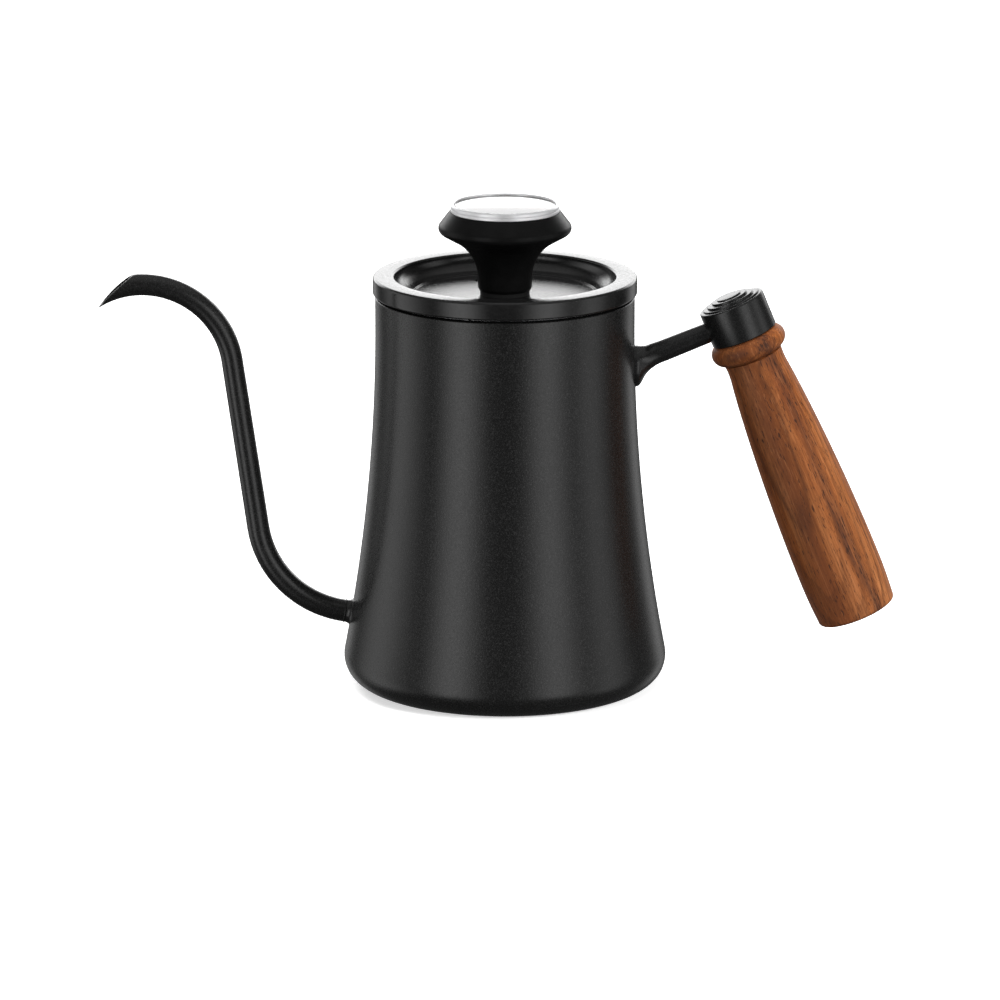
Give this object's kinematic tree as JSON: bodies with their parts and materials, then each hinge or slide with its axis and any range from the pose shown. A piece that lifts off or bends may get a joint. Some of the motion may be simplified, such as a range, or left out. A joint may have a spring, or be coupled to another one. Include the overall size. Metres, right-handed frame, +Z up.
{
  "type": "gooseneck kettle",
  "caption": "Stove-top pour-over kettle with a bent tube spout, side arm, turned wooden grip and a plug-in lid whose knob holds a dial thermometer.",
  "frame": {"origin": "centre of the round base, on the surface that the kettle stands on", "axes": "+Z up along the body's axis, -X towards the spout, +X towards the handle"},
  "size_m": [0.2582, 0.1052, 0.1589],
  "materials": {
    "black_coating": "satin black baked coating with a fine lighter fleck",
    "black_enamel": "smoother satin black coating",
    "brushed_steel": "brushed stainless steel",
    "bright_steel": "polished stainless steel",
    "knob_plastic": "black moulded heat-resistant plastic",
    "seal_rubber": "black silicone rubber",
    "walnut": "oiled turned walnut",
    "brass": "plain turned brass",
    "lens_glass": "clear glass",
    "dial_face": "printed silver-grey dial face",
    "pointer_red": "red enamel",
    "bimetal": "rolled bimetal strip"
  },
  "bodies": {
    "kettle": {"body_shell": "black_coating", "base_pan": "black_coating", "base_plate": "brushed_steel", "spout_tube": "black_coating", "handle_bracket": "black_enamel", "handle_cap": "black_enamel", "handle_bolt": "bright_steel", "bolt_washer": "bright_steel", "grip": "walnut", "grip_insert": "brass"},
    "lid": {"lid_cover": "black_coating", "lid_skirt": "brushed_steel", "knob": "knob_plastic", "knob_spacer": "seal_rubber", "knob_bolt": "bright_steel", "knob_washer": "bright_steel", "knob_nut": "bright_steel"},
    "thermometer": {"thermo_case": "bright_steel", "thermo_bezel": "bright_steel", "thermo_lens": "lens_glass", "lens_gasket": "seal_rubber", "dial_plate": "dial_face", "dial_ring": "bright_steel", "probe_stem": "bright_steel", "shaft_bush": "brass", "bimetal_coil": "bimetal", "coil_anchor": "brass"},
    "pointer": {"pointer": "pointer_red", "pointer_shaft": "bright_steel"}
  },
  "joints": [
    {"name": "lid_lift", "type": "slide", "parent": "kettle", "child": "lid", "axis": [0, 0, 1], "range_m": [0, 0.105]},
    {"name": "thermometer_pull", "type": "slide", "parent": "lid", "child": "thermometer", "axis": [0, 0, 1], "range_m": [0, 0.13]},
    {"name": "pointer_turn", "type": "hinge", "parent": "thermometer", "child": "pointer", "pos_m": [0, 0, 0.154], "axis": [0, 0, 1], "range_deg": [-238.6, 52.3], "stiffness_Nm_per_rad": 0.00001}
  ]
}
